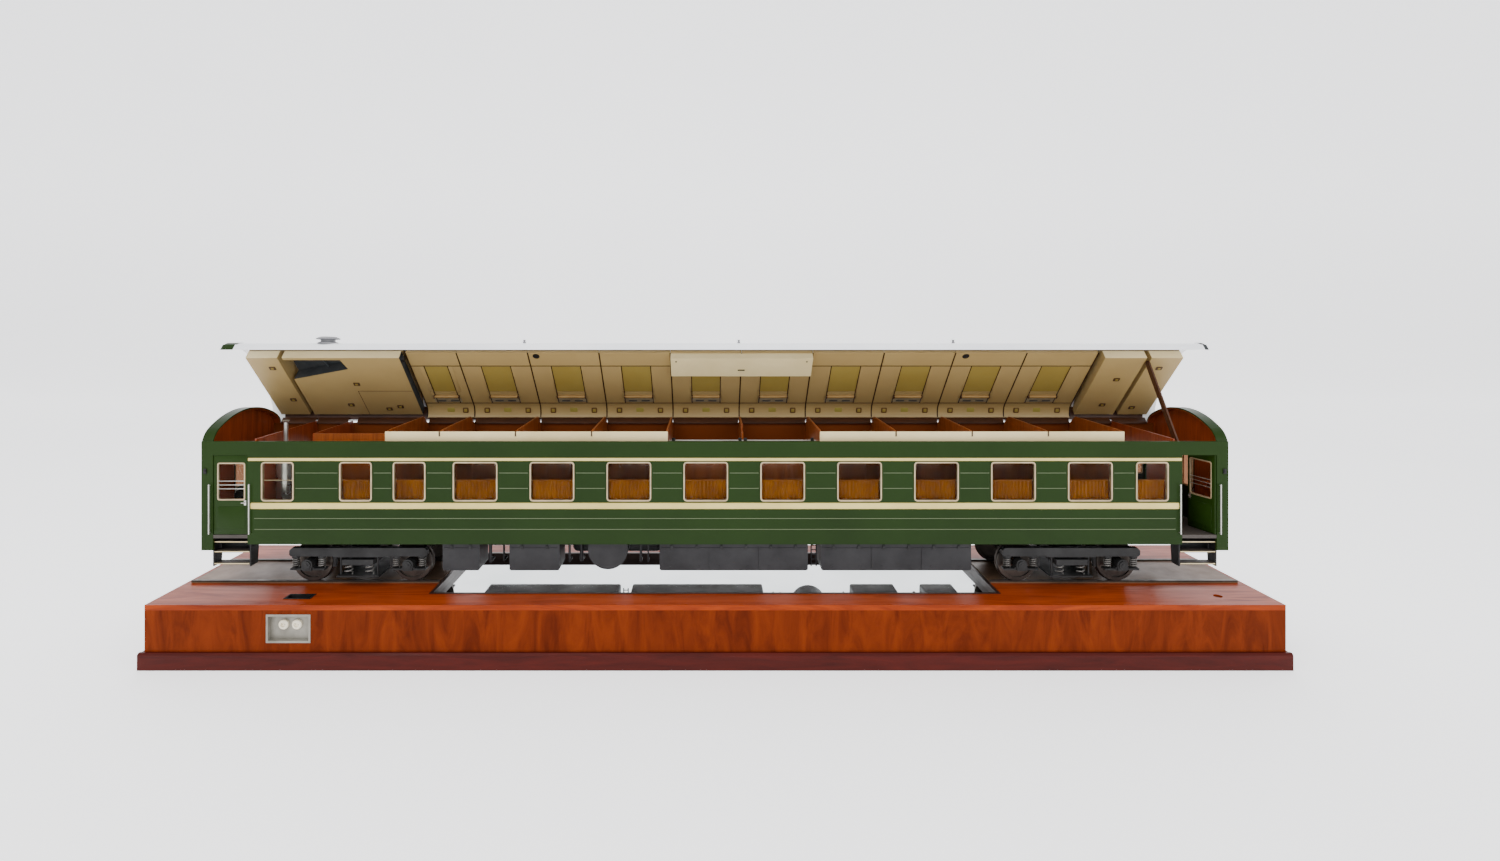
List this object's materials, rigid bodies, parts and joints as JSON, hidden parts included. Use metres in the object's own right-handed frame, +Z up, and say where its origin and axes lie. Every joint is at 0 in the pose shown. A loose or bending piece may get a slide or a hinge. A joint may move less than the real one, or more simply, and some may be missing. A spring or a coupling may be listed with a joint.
{
  "type": "model passenger coach",
  "caption": "Model passenger coach on bogies with a propped hinged roof, compartments, opening doors and turning wheelsets, on a wooden plinth with track and a mirrored pit.",
  "frame": {"origin": "middle of the plinth's underside", "axes": "+X along the coach to the right, +Y from the near side to the far side, +Z up"},
  "size_m": [2.579, 0.47, 0.7386],
  "materials": {
    "plinth_wood": "varnished",
    "skirting_wood": "varnished",
    "tray_metal": "satin",
    "mirror": "polished",
    "track_grey": "satin",
    "rail_steel": "worn",
    "bright_metal": "satin",
    "ceramic": "glazed",
    "black_plastic": "matte",
    "green_paint": "gloss",
    "brown_lining": "varnished",
    "floor_grey": "matte",
    "cream_trim": "gloss",
    "glass": "clear",
    "gold_cloth": "pleated",
    "orange_wood": "varnished",
    "cream_panel": "matte",
    "red_cloth": "stitched",
    "underframe_grey": "satin",
    "wheel_steel": "turned",
    "spring_steel": "satin",
    "roof_white": "gloss",
    "ceiling_cream": "painted",
    "diffuser_olive": "satin"
  },
  "bodies": {
    "coach": {"plinth_top": "plinth_wood", "plinth_boards": "plinth_wood", "plinth_skirting": "skirting_wood", "pit_tray": "tray_metal", "pit_mirror": "mirror", "track_plates": "track_grey", "rails": "rail_steel", "power_tray": "bright_metal", "power_sockets": "ceramic", "slot_insert": "black_plastic", "near_side_wall": "green_paint", "far_side_wall": "green_paint", "left_end_wall": "green_paint", "right_end_wall": "green_paint", "end_linings": "brown_lining", "floor_pan": "floor_grey", "waist_mouldings": "cream_trim", "cornice_strips": "cream_trim", "window_frames": "bright_metal", "window_panes": "glass", "curtains": "gold_cloth", "corridor_wall": "orange_wood", "loft_panels": "cream_panel", "partitions": "orange_wood", "compartment_doors": "orange_wood", "vestibule_walls": "brown_lining", "berth_benches": "brown_lining", "berth_cushions": "red_cloth", "boiler_flue": "bright_metal", "step_stringers": "black_plastic", "step_treads": "floor_grey", "handrails": "bright_metal", "gangway_frames": "black_plastic", "end_lamps": "black_plastic", "roof_hinges": "bright_metal", "equipment_boxes": "underframe_grey", "battery_boxes": "underframe_grey", "air_tanks": "underframe_grey", "bogie_frames": "underframe_grey", "bogie_bolsters": "underframe_grey", "axle_boxes": "underframe_grey", "axle_springs": "spring_steel", "bolster_springs": "spring_steel"},
    "roof": {"roof_shell": "roof_white", "ceiling_panels": "ceiling_cream", "ceiling_diffusers": "diffuser_olive", "ceiling_lamps": "bright_metal", "loft_box": "cream_panel", "roof_ventilators": "roof_white"},
    "roof_stay_body": {"roof_stay": "brown_lining"},
    "near_left_door_body": {"near_left_door": "green_paint"},
    "near_right_door_body": {"near_right_door": "green_paint"},
    "far_left_door_body": {"far_left_door": "green_paint"},
    "far_right_door_body": {"far_right_door": "green_paint"},
    "left_end_door_body": {"left_end_door": "green_paint"},
    "right_end_door_body": {"right_end_door": "green_paint"},
    "wheelset_1_body": {"wheelset_1": "wheel_steel"},
    "wheelset_2_body": {"wheelset_2": "wheel_steel"},
    "wheelset_3_body": {"wheelset_3": "wheel_steel"},
    "wheelset_4_body": {"wheelset_4": "wheel_steel"}
  },
  "joints": [
    {"name": "roof_hinge", "type": "hinge", "parent": "coach", "child": "roof", "pos_m": [0, 0.159, 0.498], "axis": [1, 0, 0], "range_deg": [0, 44]},
    {"name": "stay_fold", "type": "hinge", "parent": "coach", "child": "roof_stay_body", "pos_m": [1.0855, -0.137, 0.4935], "axis": [1, 0, 0], "range_deg": [-63.38, 0]},
    {"name": "near_left_door_hinge", "type": "hinge", "parent": "coach", "child": "near_left_door_body", "pos_m": [-1.1681, -0.15, 0.3695], "axis": [0, 0, 1], "range_deg": [0, 85]},
    {"name": "near_right_door_hinge", "type": "hinge", "parent": "coach", "child": "near_right_door_body", "pos_m": [1.1681, -0.15, 0.3695], "axis": [0, 0, 1], "range_deg": [-5, 78]},
    {"name": "far_left_door_hinge", "type": "hinge", "parent": "coach", "child": "far_left_door_body", "pos_m": [-1.1681, 0.15, 0.3695], "axis": [0, 0, 1], "range_deg": [-85, 0]},
    {"name": "far_right_door_hinge", "type": "hinge", "parent": "coach", "child": "far_right_door_body", "pos_m": [1.1681, 0.15, 0.3695], "axis": [0, 0, 1], "range_deg": [0, 85]},
    {"name": "left_end_door_hinge", "type": "hinge", "parent": "coach", "child": "left_end_door_body", "pos_m": [-1.1945, 0.0306, 0.3695], "axis": [0, 0, 1], "range_deg": [0, 80]},
    {"name": "right_end_door_hinge", "type": "hinge", "parent": "coach", "child": "right_end_door_body", "pos_m": [1.1945, 0.0306, 0.3695], "axis": [0, 0, 1], "range_deg": [-80, 0]},
    {"name": "wheelset_1_spin", "type": "hinge", "parent": "coach", "child": "wheelset_1_body", "pos_m": [-0.97, 0, 0.1973], "axis": [0, 1, 0], "continuous": true},
    {"name": "wheelset_2_spin", "type": "hinge", "parent": "coach", "child": "wheelset_2_body", "pos_m": [-0.73, 0, 0.1973], "axis": [0, 1, 0], "continuous": true},
    {"name": "wheelset_3_spin", "type": "hinge", "parent": "coach", "child": "wheelset_3_body", "pos_m": [0.73, 0, 0.1973], "axis": [0, 1, 0], "continuous": true},
    {"name": "wheelset_4_spin", "type": "hinge", "parent": "coach", "child": "wheelset_4_body", "pos_m": [0.97, 0, 0.1973], "axis": [0, 1, 0], "continuous": true}
  ],
  "couplings": [
    {"joint": "stay_fold", "follows": "roof_hinge", "ratio": -1.4359}
  ]
}
